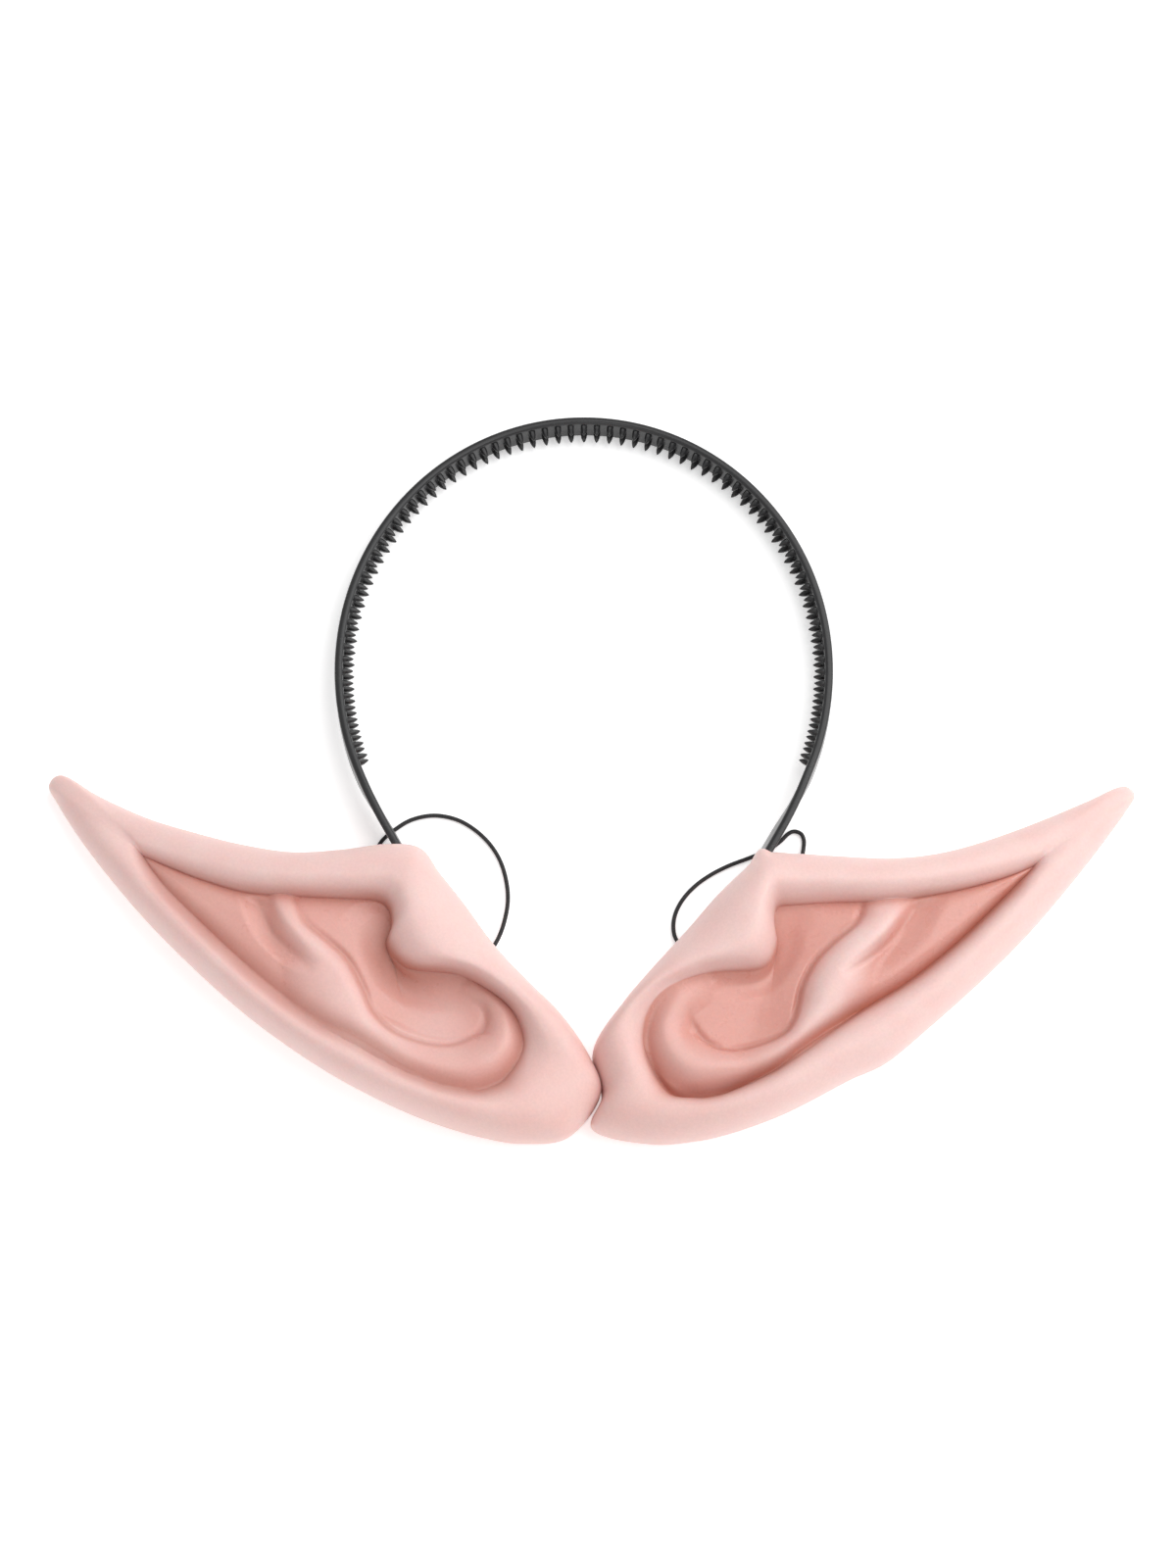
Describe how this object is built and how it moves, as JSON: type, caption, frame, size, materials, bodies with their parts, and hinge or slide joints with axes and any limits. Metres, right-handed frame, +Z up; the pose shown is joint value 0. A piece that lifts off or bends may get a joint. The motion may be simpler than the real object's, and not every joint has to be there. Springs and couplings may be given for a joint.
{
  "type": "pixie ear headband",
  "caption": "Toothed plastic hair band with hollow pointed latex ears on the ends of its legs and a thin elastic loop on each ear, lying face up.",
  "frame": {"origin": "on the surface it lies on, under the middle of the box round the band and the ears", "axes": "+X from the left ear to the right ear as pictured, +Y from the lobes to the top of the hoop, +Z up out of the surface, towards the face of the ears"},
  "size_m": [0.2834, 0.2012, 0.023],
  "materials": {
    "latex": "matte pale flesh pink latex with a soft sheen, warmer and darker in the creases",
    "plastic": "black moulded plastic, satin",
    "elastic": "thin round black elastic with a woven cover"
  },
  "bodies": {
    "root": {"headband": "plastic", "left_ear": "latex", "right_ear": "latex", "left_elastic_loop": "elastic", "right_elastic_loop": "elastic", "left_loop_knot_upper": "elastic", "left_loop_knot_lower": "elastic", "right_loop_knot_upper": "elastic", "right_loop_knot_lower": "elastic"}
  },
  "joints": []
}
